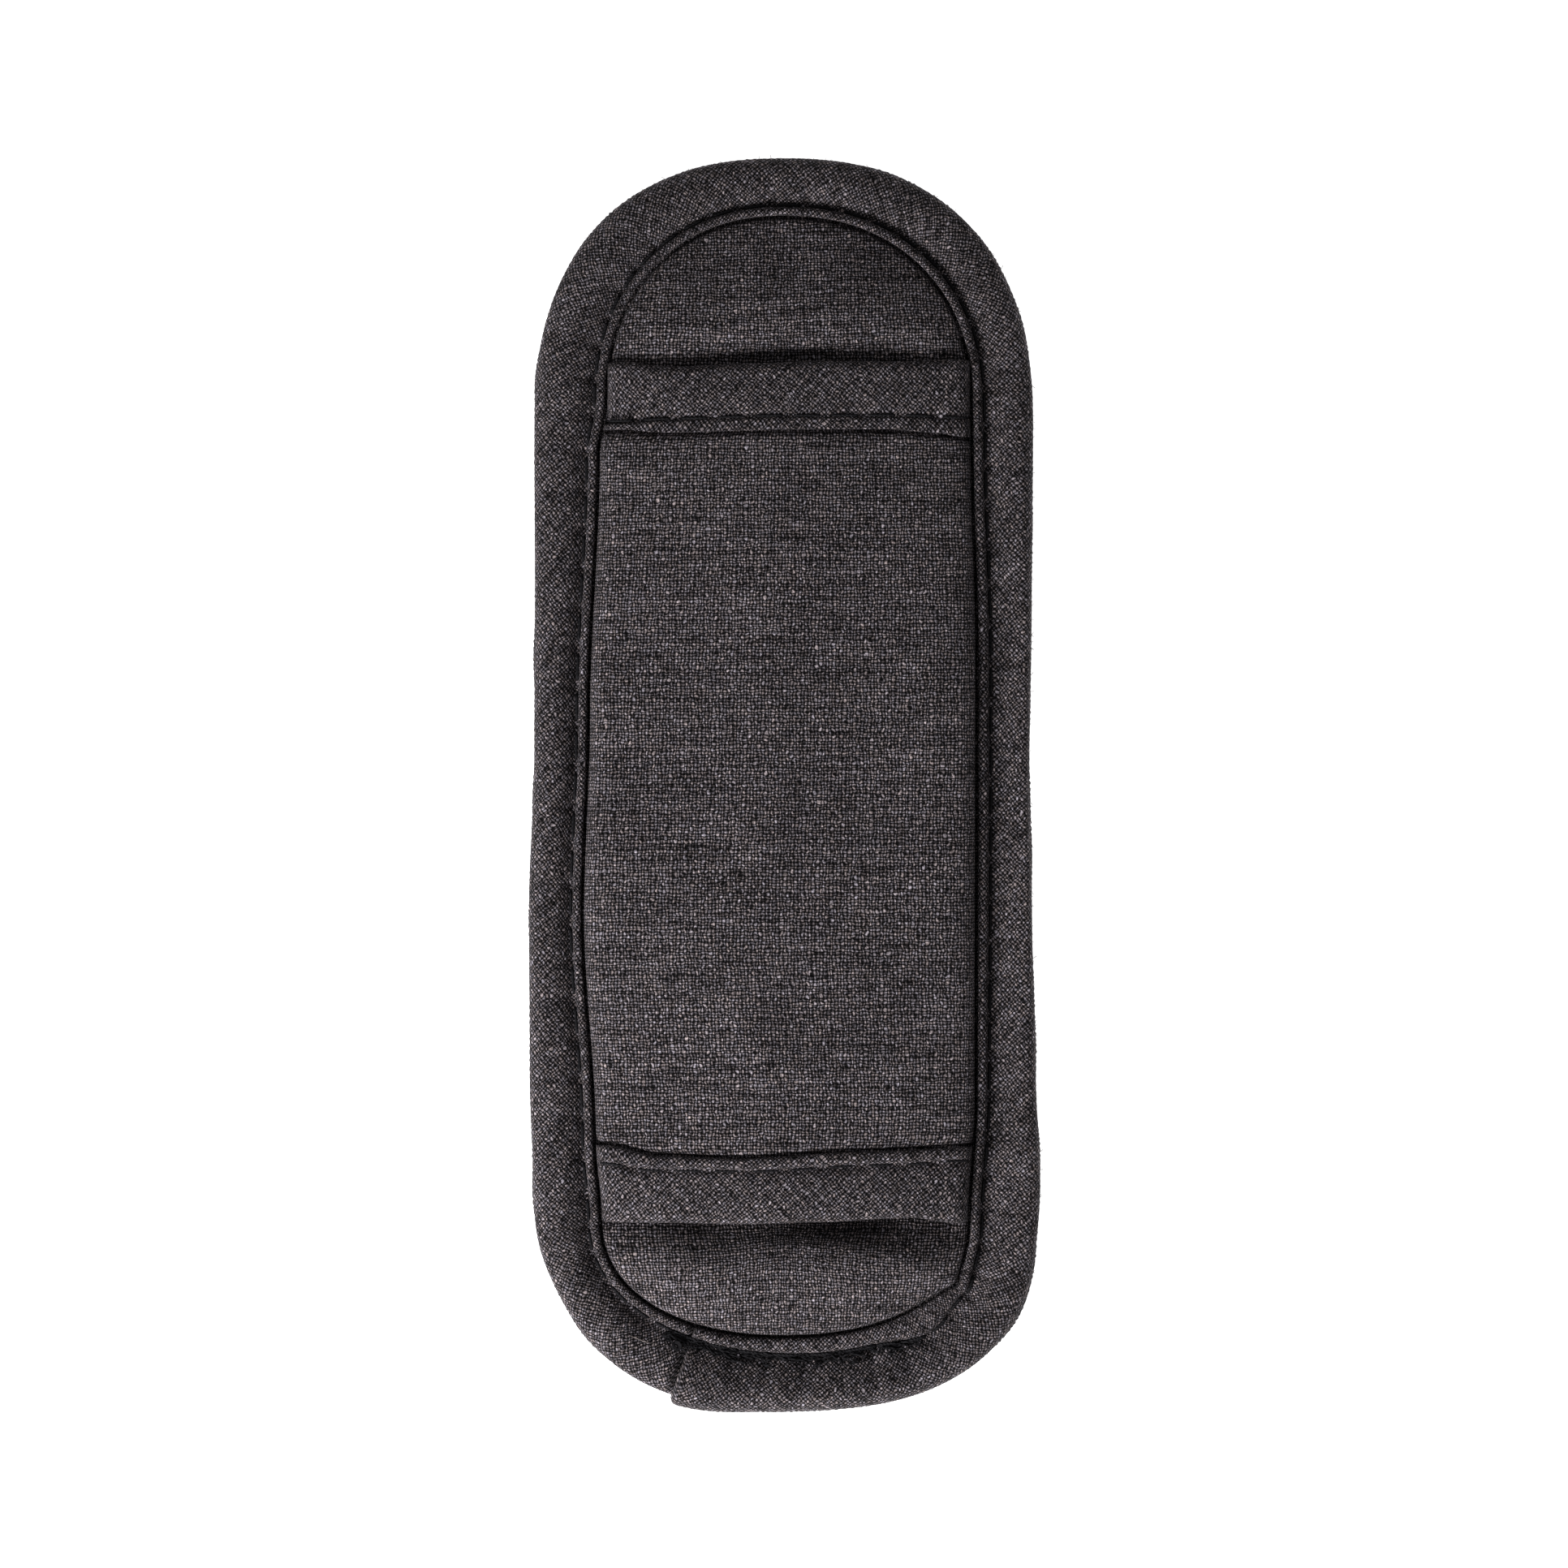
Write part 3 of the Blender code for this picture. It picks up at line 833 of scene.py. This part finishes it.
# Lines across the sleeve as (x, y): free edges, stitch lines and the tapes' inner edges.
UPPER_FREE = [(-27, 63.9), (-20, 63.1), (-8, 63.5), (6, 63.9), (18, 63.9), (28, 64.3)]
UPPER_STITCH = [(-27, 54.9), (-18, 55.2), (0, 55.6), (18, 55.7), (28, 55.4)]
UPPER_LINE = [(-27, 53.5), (-19, 53.0), (0, 53.4), (16, 53.5), (24, 53.0), (28, 52.4)]
LOWER_FREE = [(-27, -66.3), (-8, -66.4), (6, -66.1), (20, -65.5), (28, -66.4)]
LOWER_STITCH = [(-28, -57.3), (-20, -58.3), (-6, -58.4), (15, -57.5), (29, -56.9)]
LOWER_LINE = [(-28, -54.5), (-19, -56.1), (-8, -56.4), (12, -55.4), (29, -54.8)]


# How soon each band reaches its height, and the heights of its groove and its lip.
UPPER_RELIEF = (0.25, -0.12, 0.15)
LOWER_RELIEF = (0.12, 0.05, 0.85)


def roof(share):
    """How far the surface falls from its ridge to a share of the way out to its seam."""
    soft = ROOF_SOFTNESS
    return SLEEVE_ROOF * (np.sqrt(share**2 + soft**2) - soft) / (math.sqrt(1 + soft**2) - soft)


def wall(share):
    """1 over the sleeve's width, falling steeply to 0 at its seams."""
    return (1 - np.abs(share) ** WALL_POWER) ** (1 / WALL_ROUNDING)


def arch_shares():
    """Shares of the half width, at even steps along the cloth from seam to seam, and those steps."""
    fine = np.sin(np.radians(np.linspace(-90, 90, 8001)))
    z = (SLEEVE_CROWN_Z - SLEEVE_ROOT_Z - roof(fine)) * wall(fine)
    run = np.concatenate([[0], np.cumsum(np.hypot(np.diff(fine) * SLEEVE_HALF, np.diff(z)))])
    run -= run[-1] / 2
    even = np.linspace(run[0], run[-1], 2 * ARCH_COLUMNS - 1)
    return np.interp(even, run, fine), even


SHARES, ARCH_RUN = arch_shares()
ARCH_X = SHARES * SLEEVE_HALF


def sleeve_points(share, y, depth):
    """Points of the sleeve. depth is measured in from its outer surface, and arrays broadcast together."""
    share, y, depth = np.broadcast_arrays(share, y, depth)
    left, right = inner_bounds(np.clip(y, -65, 57))
    middle, half = (left + right) / 2, (right - left) / 2 - LINE_HALF
    x = middle + (half - np.maximum(depth, 0)) * share
    sag = np.where(y > 0, UPPER_SAG, LOWER_SAG)
    crown = SLEEVE_CROWN_Z - sag * ((y - RIDGE_Y) / RIDGE_HALF) ** 2
    ripple = 0.2 * SLEEVE_RIPPLE(x, y) + SLEEVE_SWELLING(x, y)
    z = SLEEVE_ROOT_Z + (crown - SLEEVE_ROOT_Z - roof(share) - depth + ripple) * wall(share)
    return np.stack([x, y, z], -1)


def sleeve_body():
    """The whole sleeve as one plain closed slab."""
    y = np.linspace(-60, 58, 60)[:, None]
    layers = [sleeve_points(SHARES[None, :], y, depth) for depth in (0.0, LAMINATE)]
    points = np.concatenate([layers[0], layers[1][::-1], layers[0][:1]])
    return joined(grid_mesh("sleeve_to_swell", points[:-1], points[:-1, :, :2], closed_rows=True))


def sewn_sleeve(x, y):
    """Where the sleeve is held: in the side seams and at the two tapes."""
    left, right = inner_bounds(y)
    return (x < left + 3) | (x > right - 3) | (y < -55) | (y > 53)


SLEEVE_SWELLING = no_swelling
SLEEVE_SWELLING = Swelling(sleeve_body(), sewn_sleeve)


def sheet_half(name, columns, rows, thickness):
    """Half an arched sheet. rows is a list of (y over the columns, depth, cloth distance along)."""
    share, run = SHARES[columns], ARCH_RUN[columns]
    y = np.stack([r[0][columns] for r in rows])
    depth = np.array([r[1] for r in rows])[:, None]
    points = sleeve_points(share[None, :], y, depth)
    grain = np.stack([np.broadcast_to(run, y.shape), y], -1)
    made = grid_mesh(name, points, grain)
    return thicken(made, thickness)


def along_rows(low, high, depth, dip):
    """Rows from the lower tape to the upper one. The sheet dips where it runs in under each tape's lip."""
    edge, sunk = ROW_PLACES, dip * ROW_DIPS
    between = high - low - 2 * edge[-1]
    rows = [(low + e, depth + s) for e, s in zip(edge, sunk)]
    rows += [(low + edge[-1] + between * s, depth) for s in np.linspace(0, 1, ROWS_BETWEEN + 2)[1:-1]]
    return rows + [(high - e, depth + s) for e, s in zip(edge[::-1], sunk[::-1])]


def tape_section(lines, inward, relief, dimple, pocket):
    """(Y, H) places of a sleeve tape's closed section round the sleeve's free end, over its columns.

    lines are the Y of its free edge, stitches and inner edge, and inward is the sign of Y into the sleeve."""
    free_y, stitch_y, line_y = lines
    softness, floor_h, lip_h = relief
    floor_h = floor_h - dimple - pocket
    lip_y = line_y - inward * 0.1
    reach = np.abs(lip_y - stitch_y) / 2 - 0.15
    centre = lip_y - inward * reach
    path = [(lip_y - inward * 0.5, -0.95), (lip_y, -0.9)]
    path += bead(centre, inward * reach, lip_h, 0.0, floor_h, BEAD_TURNS)
    path += [(stitch_y + inward * 0.1, floor_h), (stitch_y - inward * 0.12, floor_h)]
    radius = LAMINATE / 2 + BAND_H
    band = np.abs(stitch_y - free_y) - radius
    for t in BAND_SHARES:
        rise = 1 - np.exp(-t / softness)
        path.append((stitch_y - inward * (0.12 + (band - 0.12) * t), floor_h + (BAND_H - floor_h) * rise))
    fold = []
    for turn in FOLD_TURNS:
        across = radius * (1 - math.sin(turn))
        fold.append((free_y + inward * across, radius * math.cos(turn) - LAMINATE / 2))
    inside = [(at, -LAMINATE - height) for at, height in reversed(path)]
    core = [
        (line_y - inward * 0.9, -LAMINATE + 0.6),
        (free_y + inward * 1.3, -LAMINATE + 0.5),
        (free_y + inward * 1.0, -LAMINATE / 2),
        (free_y + inward * 1.3, -0.7),
        (line_y - inward * 0.9, -0.95),
    ]
    return path + fold + inside + core


def tape_half(name, columns, lines, inward, relief):
    """Half a sleeve end's tape."""
    share, run, x = SHARES[columns], ARCH_RUN[columns], ARCH_X[columns]
    dimple = stitch_dimple(run + STITCH_PITCH * 50, SLEEVE_DIMPLE)
    pocket = POCKET_DEPTH * bump(x, POCKET_X, POCKET_WIDE) if inward < 0 else 0.0
    path = tape_section([eased(line, x) for line in lines], inward, relief, dimple, pocket)
    y = np.stack([p[0] + 0 * x for p in path])
    h = np.stack([p[1] + 0 * x for p in path])
    points = sleeve_points(share[None, :], y, -h)
    step = np.hypot(np.diff(y, axis=0), np.diff(h, axis=0)).mean(1)
    across = np.concatenate([[0], np.cumsum(step)])
    grain = on_bias(*np.broadcast_arrays(run[None, :], across[:, None]))
    points, grain = points.transpose(1, 0, 2), grain.transpose(1, 0, 2)
    if inward > 0:
        points, grain = points[::-1], grain[::-1]
    return grid_mesh(name, points, grain, closed_columns=True, cap_rows=True)


def sleeve_stitches(name, line, side, label):
    """A sleeve seam's long stitches on one half. side is 1 outside and -1 in the tunnel."""
    tubes = []
    for i in range(-6, 6):
        middle = (i + 0.5) * STITCH_PITCH
        if (middle < 0) != (label == "left") or abs(middle) > 30:
            continue

        def place(t, middle=middle):
            share = np.interp(middle + t, ARCH_RUN, SHARES)
            depth = 0.02 if side > 0 else LAMINATE - 0.02
            return sleeve_points(share, eased(line, share * SLEEVE_HALF), depth)

        lift, dive = SLEEVE_THREAD_LIFT * side, SLEEVE_THREAD_DIVE * side
        path, radii = stitch_path(place, STITCH_FLOAT, lift, dive)
        tubes.append(tube_rings(path, 0.75 * radii))
    return join_tubes(name, tubes)


# ---- materials


class Nodes:
    """Short calls that build a shader tree, each from numbers or sockets."""

    def __init__(self, name):
        self.material = bpy.data.materials.new(name)
        self.material.use_nodes = True
        self.tree = self.material.node_tree
        self.shader = self.tree.nodes["Principled BSDF"]

    def link(self, value, socket):
        if isinstance(value, bpy.types.NodeSocket):
            self.tree.links.new(value, socket)
        else:
            socket.default_value = value

    def fill(self, made, **inputs):
        """Sets or links a node's inputs, named as its sockets are, with _ for each space."""
        for name, value in inputs.items():
            self.link(value, made.inputs[name.replace("_", " ")])
        return made

    def node(self, kind, **inputs):
        return self.fill(self.tree.nodes.new("ShaderNode" + kind), **inputs)

    def math(self, operation, *values):
        made = self.node("Math")
        made.operation = operation
        for value, socket in zip(values, made.inputs):
            self.link(value, socket)
        return made.outputs[0]

    def times(self, a, b):
        return self.math("MULTIPLY", a, b)

    def minus(self, a, b):
        return self.math("SUBTRACT", a, b)

    def times_plus(self, a, b, c):
        return self.math("MULTIPLY_ADD", a, b, c)

    def combine(self, x, y, z=0.0):
        return self.node("CombineXYZ", X=x, Y=y, Z=z).outputs[0]

    def noise(self, vector, scale=1.0, detail=2.0, roughness=0.5):
        made = self.node("TexNoise", Vector=vector, Scale=scale, Detail=detail, Roughness=roughness)
        return made.outputs[0]

    def wander(self, vector, scale, detail):
        """Noise about 0."""
        return self.minus(self.noise(vector, scale, detail), 0.5)

    def white(self, vector):
        return self.node("TexWhiteNoise", Vector=vector).outputs["Value"]

    def spread(self, value, low, high, to_low=0.0, to_high=1.0):
        made = self.node("MapRange", Value=value, From_Min=low, From_Max=high, To_Min=to_low, To_Max=to_high)
        return made.outputs[0]

    def mix_colour(self, factor, a, b):
        made = self.node("Mix")
        made.data_type = "RGBA"
        self.fill(made, Factor=factor, A=a, B=b)
        return [socket for socket in made.outputs if socket.type == "RGBA"][0]

    def scale_colour(self, colour, factor):
        made = self.node("VectorMath")
        made.operation = "SCALE"
        return self.fill(made, Vector=colour, Scale=factor).outputs[0]

    def bump(self, height, distance):
        made = self.node("Bump", Strength=1.0, Distance=distance, Height=height)
        self.link(made.outputs[0], self.shader.inputs["Normal"])

    def grain(self):
        """The cloth's own coordinates, as a vector and one by one."""
        made = self.node("Attribute")
        made.attribute_name = "grain"
        place = made.outputs["Vector"]
        split = self.node("SeparateXYZ", Vector=place)
        return place, split.outputs[0], split.outputs[1]


# What a cool and a warm yarn's colour is multiplied by.
COOL, WARM = (0.95, 1.0, 1.07), (1.05, 1.0, 0.93)


def yarn_counts(n, u, v):
    """Which warp and weft yarn a place lies on, as numbers that drift and jitter from an even count."""
    warp_place = n.combine(n.times(u, 0.8), n.times(v, 0.25))
    weft_place = n.combine(n.times(u, 0.12), n.times(v, 0.8), 9.0)
    a = n.times_plus(n.wander(warp_place, 1.0, 2.0), YARN_DRIFT, n.math("DIVIDE", u, WARP_PITCH))
    b = n.times_plus(n.wander(weft_place, 1.0, 2.0), YARN_DRIFT, n.math("DIVIDE", v, WEFT_PITCH))
    a = n.times_plus(n.wander(n.combine(u, v, 21.0), 1.25, 1.0), YARN_JITTER, a)
    b = n.times_plus(n.wander(n.combine(u, v, 43.0), 1.25, 1.0), YARN_JITTER, b)
    return a, b


def ridge(n, count, thick):
    """A yarn's round back, from its count."""
    off = n.math("DIVIDE", n.minus(n.math("FRACT", count), 0.5), thick)
    return n.minus(1.0, n.times(n.times(off, off), 4.0))


def wave(n, count, index):
    """1 where a yarn passes over the ones across it, and -1 where it passes under."""
    return n.math("COSINE", n.times(n.math("ADD", n.minus(count, 0.5), index), math.pi))


def woven(name, dark, light, brightness):
    """Plain-weave melange cloth: two sets of yarns that pass over and under, in light and dark runs, with
    painted shade in the hollows between the yarns.
    """
    n = Nodes(name)
    _, u, v = n.grain()
    a, b = yarn_counts(n, u, v)
    i, j = n.math("FLOOR", a), n.math("FLOOR", b)
    warp_run = n.noise(n.combine(n.times(i, 5.37), n.times(v, 0.5), 2.0), 1.0, 2.0)
    weft_run = n.noise(n.combine(n.times(u, 0.09), n.times(j, 5.37), 7.0), 1.0, 2.0)

    warp_thick = n.spread(warp_run, 0.3, 0.7, 0.75, 1.0)
    weft_thick = n.spread(weft_run, 0.3, 0.7, 0.75, 1.05)
    warp_h = n.times_plus(wave(n, b, i), FLOAT_RISE, ridge(n, a, warp_thick))
    weft_h = n.times_plus(wave(n, a, j), -FLOAT_RISE, ridge(n, b, weft_thick))
    top = n.math("MAXIMUM", warp_h, weft_h)
    weft_shows = n.math("GREATER_THAN", weft_h, warp_h)

    # The tone is a yarn's own run of light or dark, and a speck of its own at each crossing.
    weft_share = n.times_plus(weft_shows, 0.4, 0.5)
    run = n.math("ADD", warp_run, n.times(weft_share, n.minus(weft_run, warp_run)))
    speck = n.white(n.combine(i, j, weft_shows))
    tone = n.times_plus(n.minus(speck, 0.5), SPECK_SHARE, 0.5)
    tone = n.times_plus(n.minus(run, 0.5), RUN_SHARE, tone)
    tone = n.math("POWER", n.math("MAXIMUM", tone, 0.0), 1.2)
    tint = n.white(n.combine(j, i, 5.0))
    bright = n.mix_colour(tint, (*np.multiply(light, COOL), 1.0), (*np.multiply(light, WARM), 1.0))
    colour = n.mix_colour(n.math("MINIMUM", tone, 1.0), (*dark, 1.0), bright)

    # Painted shade darkens the hollows between the yarns, from where they cross over each other down into the
    # gaps; the weft is dimmer than the warp, and single fibres mottle both.
    hollow_painted_shade = n.math("POWER", n.spread(top, 0.5, 1.58, 0.0, 1.0), 2.5)
    shade = n.times_plus(hollow_painted_shade, brightness * (1.0 - HOLLOW_SHADE_FLOOR), brightness * HOLLOW_SHADE_FLOOR)
    shade = n.times(shade, n.times_plus(weft_shows, -WEFT_DIM, 1.0))
    fibres = n.noise(n.combine(u, v, 65.0), 4.6, 2.0, 0.7)
    shade = n.times(shade, n.spread(fibres, 0.28, 0.72, 1.0 - FIBRE_SHARE, 1.0 + FIBRE_SHARE))
    n.fill(n.shader, Base_Color=n.scale_colour(colour, shade), Roughness=0.85, Specular_IOR_Level=0.06)
    n.fill(n.shader, Sheen_Weight=0.03, Sheen_Roughness=0.4)
    n.bump(top, 0.00011)
    return n.material


def twisted_thread(name, dark, light):
    n = Nodes(name)
    vector, u, v = n.grain()
    twist = n.math("SINE", n.times(n.math("ADD", u, v), 9.0))
    fuzz = n.noise(vector, 6.0, 3.0)
    colour = n.mix_colour(fuzz, (*dark, 1.0), (*light, 1.0))
    n.fill(n.shader, Base_Color=colour, Roughness=0.7, Specular_IOR_Level=0.15)
    n.bump(n.times_plus(fuzz, 0.4, twist), 0.00003)
    return n.material


def open_foam(name):
    n = Nodes(name)
    cells = n.noise(n.node("TexCoord").outputs["Object"], 2600.0, 3.0, 0.7)
    colour = n.mix_colour(cells, (0.42, 0.41, 0.37, 1.0), (0.72, 0.71, 0.66, 1.0))
    n.fill(n.shader, Base_Color=colour, Roughness=0.95)
    n.bump(cells, 0.0003)
    return n.material


def plain_white(name, level, glow):
    n = Nodes(name)
    n.fill(n.shader, Base_Color=(level, level, level, 1.0), Roughness=0.9, Specular_IOR_Level=0.1)
    n.fill(n.shader, Emission_Color=(1.0, 1.0, 1.0, 1.0), Emission_Strength=glow)
    return n.material


# Linear colours of the darkest and the palest yarns or fibres.
DARK_YARN, PALE_YARN = (0.029, 0.025, 0.027), (0.655, 0.57, 0.61)
DARK_LINING, PALE_LINING = (0.012, 0.011, 0.012), (0.07, 0.066, 0.07)
COVER_CLOTH = woven("cover_cloth", DARK_YARN, PALE_YARN, 1.0)
TAPE_MATERIAL = woven("tape_cloth", DARK_YARN, PALE_YARN, 0.9)
LINING_CLOTH = woven("lining_cloth", DARK_LINING, PALE_LINING, 0.9)
THREAD = twisted_thread("black_thread", (0.002, 0.002, 0.003), (0.012, 0.011, 0.013))
FIBRE = twisted_thread("loose_fibre", (0.12, 0.10, 0.10), (0.34, 0.29, 0.27))
FOAM = open_foam("open_cell_foam")


def dress(made, material):
    made.data.materials.clear()
    made.data.materials.append(material)
    return made


# ---- assembly


def make_pad():
    tape = dress(grid_mesh("edge_tape", *tape_points(), closed_columns=True, cap_rows=True), TAPE_MATERIAL)
    back = dress(thicken(cloth_sheet("back_cloth", back_height), COVER_THICKNESS), COVER_CLOTH)
    face = dress(thicken(cloth_sheet("face_cloth", face_height), COVER_THICKNESS, 1.0), COVER_CLOTH)
    back_stitches = dress(edge_stitches("edge_stitches_back", 1), THREAD)
    face_stitches = dress(edge_stitches("edge_stitches_face", -1), THREAD)
    fibres = dress(loose_fibres(), FIBRE)
    core = dress(body_between("foam_filling", back_height, FOAM_GAP), FOAM)
    for piece, node, slot in (
        (tape, "edge_binding", "binding_fabric"),
        (back, "back_cover", "cover_fabric"),
        (face, "face_cover", "cover_fabric"),
        (back_stitches, "edge_seam_thread_back", "thread"),
        (face_stitches, "edge_seam_thread_face", "thread"),
        (fibres, "edge_binding", "binding_fabric"),
        (core, "foam_core", "foam"),
    ):
        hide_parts(node)
        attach(piece, "pad")


def blend_half(piece, label, node, slot):
    """Hides the CAD part that a half replaces and bakes the half's place into its points."""
    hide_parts(node)
    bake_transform(piece)


def make_sleeve():
    # Each layer's name, the node that it replaces, its depth, dip and thickness, and its material and slot.
    layers = (
        ("sleeve_cloth", "sleeve_panel", 0.0, 0.9, 0.35, COVER_CLOTH, "cover_fabric"),
        ("sleeve_wadding", "sleeve_padding", 0.5, 0.6, 0.4, FOAM, "foam"),
        ("sleeve_inside", "sleeve_lining", LAMINATE - 0.35, 0.0, 0.35, LINING_CLOTH, "lining_fabric"),
    )
    ends = (
        ("upper", (UPPER_FREE, UPPER_STITCH, UPPER_LINE), -1, UPPER_RELIEF),
        ("lower", (LOWER_FREE, LOWER_STITCH, LOWER_LINE), 1, LOWER_RELIEF),
    )
    upper_line, lower_line = eased(UPPER_LINE, ARCH_X), eased(LOWER_LINE, ARCH_X)
    halves = (("left", slice(0, ARCH_COLUMNS)), ("right", slice(ARCH_COLUMNS - 1, None)))
    for label, columns in halves:
        for name, node, depth, dip, thickness, material, slot in layers:
            rows = along_rows(lower_line, upper_line, depth, dip)
            piece = dress(sheet_half(f"{name}_{label}", columns, rows, thickness), material)
            blend_half(piece, label, node, slot)
        for end, lines, inward, relief in ends:
            tape = tape_half(f"sleeve_tape_{end}_{label}", columns, lines, inward, relief)
            dress(tape, TAPE_MATERIAL)
            blend_half(tape, label, f"sleeve_binding_{end}", "binding_fabric")
            for side, word in ((1, "outer"), (-1, "inner")):
                name = f"sleeve_stitches_{end}_{word}_{label}"
                piece = dress(sleeve_stitches(name, lines[1], side, label), THREAD)
                blend_half(piece, label, f"sleeve_thread_{end}_{word}", "thread")


# ---- studio

# In metres: the soft key light from the lower left, and a long lens straight above the pad.
KEY_PLACE = (-0.27, -0.36, 0.33)
KEY_SIZE = 0.3
KEY_POWER = 4.5
WORLD_LEVEL = 0.24
CAMERA_DISTANCE = 1.2
FRAME_WIDTH = 0.23785
SENSOR_WIDTH = 36.0


def add_key():
    data = bpy.data.lights.new("key", "AREA")
    data.shape = "RECTANGLE"
    data.size = data.size_y = KEY_SIZE
    data.energy = KEY_POWER
    made = new_object("key", data)
    made.location = KEY_PLACE
    made.rotation_mode = "QUATERNION"
    made.rotation_quaternion = (-Vector(KEY_PLACE)).to_track_quat("-Z", "Y")


def make_studio():
    bpy.ops.mesh.primitive_plane_add(size=6.0, location=(0, 0, 0))
    floor = bpy.context.object
    floor.name = "floor"
    dress(floor, plain_white("pale_floor", 0.85, 1.0))
    world = bpy.data.worlds.new("studio")
    bpy.context.scene.world = world
    world.use_nodes = True
    background = world.node_tree.nodes["Background"]
    background.inputs["Color"].default_value = (1.0, 1.0, 1.0, 1.0)
    background.inputs["Strength"].default_value = WORLD_LEVEL
    add_key()
    data = bpy.data.cameras.new("camera")
    data.sensor_width = SENSOR_WIDTH
    data.lens = SENSOR_WIDTH * CAMERA_DISTANCE / FRAME_WIDTH
    data.clip_start, data.clip_end = 0.01, 20.0
    camera = new_object("camera", data)
    camera.location = (0.0, 0.0, CAMERA_DISTANCE + MIDDLE_Z * MM)
    bpy.context.scene.camera = camera
    bpy.context.scene.view_settings.view_transform = "Standard"


make_studio()
make_pad()
make_sleeve()
